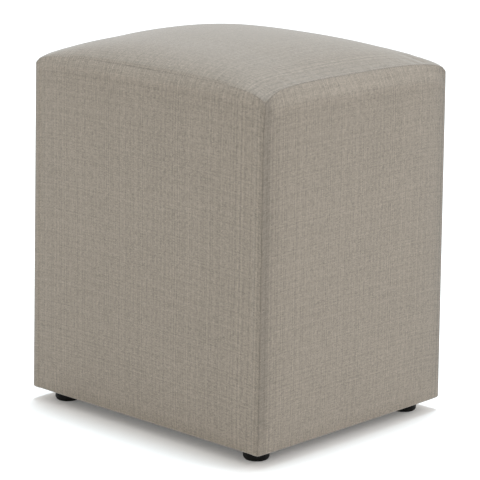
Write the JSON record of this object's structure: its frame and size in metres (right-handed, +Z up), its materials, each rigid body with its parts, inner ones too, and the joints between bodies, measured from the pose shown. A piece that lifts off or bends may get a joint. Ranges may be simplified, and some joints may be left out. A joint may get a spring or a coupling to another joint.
{
  "type": "cube pouf stool",
  "caption": "Upholstered box-shaped pouf stool with a softly crowned top, plain seams along its edges and low round glides.",
  "frame": {"origin": "on the floor, under the middle of the stool", "axes": "+Z up; the front panel faces -Y and the right panel faces +X"},
  "size_m": [0.3962, 0.3402, 0.4742],
  "materials": {
    "cover": "matt plain-woven linen look, warm grey-beige, with fine slubs",
    "base_cloth": "black non-woven dust cloth, matt",
    "glide": "black moulded plastic, satin"
  },
  "bodies": {
    "root": {"top_panel": "cover", "front_panel": "cover", "right_panel": "cover", "back_panel": "cover", "left_panel": "cover", "base_panel": "base_cloth", "glide_front_left": "glide", "glide_front_right": "glide", "glide_back_right": "glide", "glide_back_left": "glide"}
  },
  "joints": []
}
